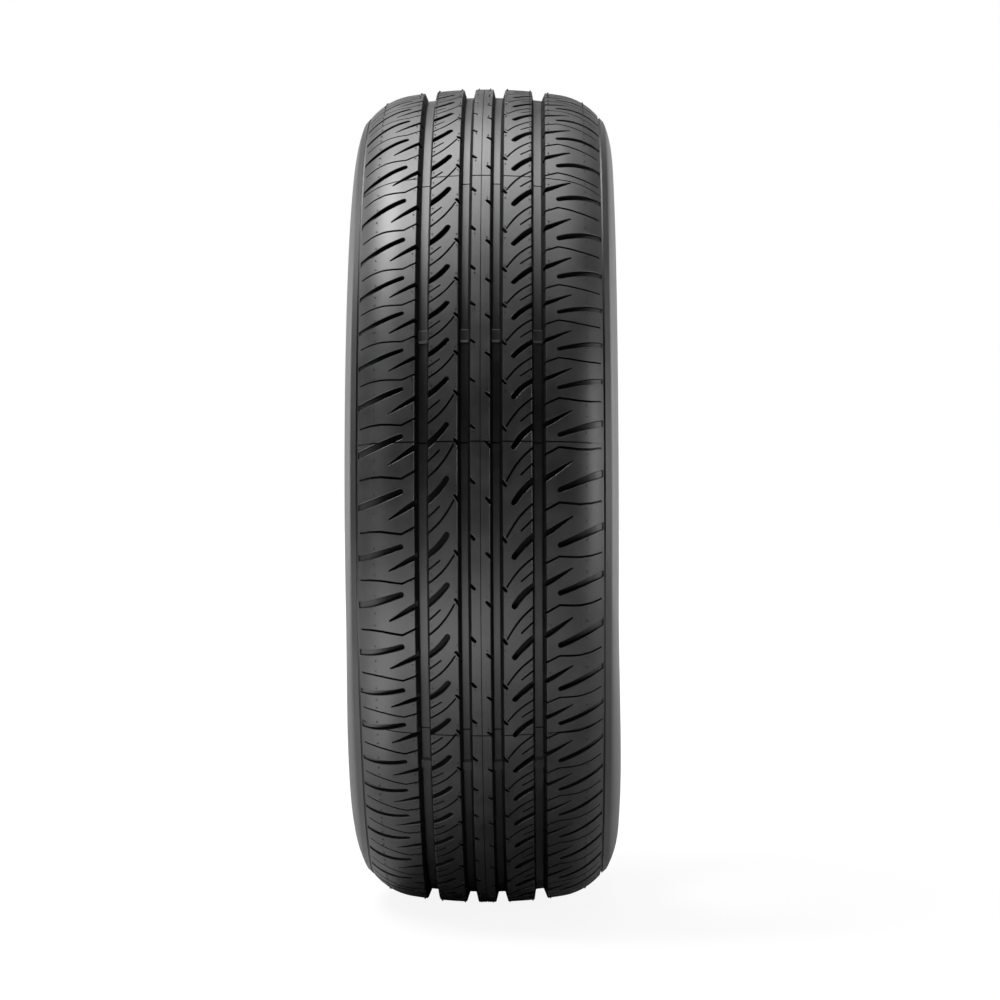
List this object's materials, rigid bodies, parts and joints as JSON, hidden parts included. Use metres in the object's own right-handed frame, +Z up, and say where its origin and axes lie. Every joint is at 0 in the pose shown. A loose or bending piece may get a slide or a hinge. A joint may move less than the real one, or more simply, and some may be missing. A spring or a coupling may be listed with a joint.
{
  "type": "car tyre",
  "caption": "Car tyre moulded whole in black rubber, with grooves round the tread, slotted ribs and shoulders, smooth sidewalls and bead seats that press onto a rim.",
  "frame": {"origin": "wheel centre: on the axle line, midway between the two beads", "axes": "+Y along the axle, +Z up as the tyre stands on its tread, +X out of the tread towards the picture's camera"},
  "size_m": [0.6344, 0.201, 0.6326],
  "materials": {
    "rubber": "matte black rubber with a faint sheen"
  },
  "bodies": {
    "root": {"tyre": "rubber"}
  },
  "joints": []
}
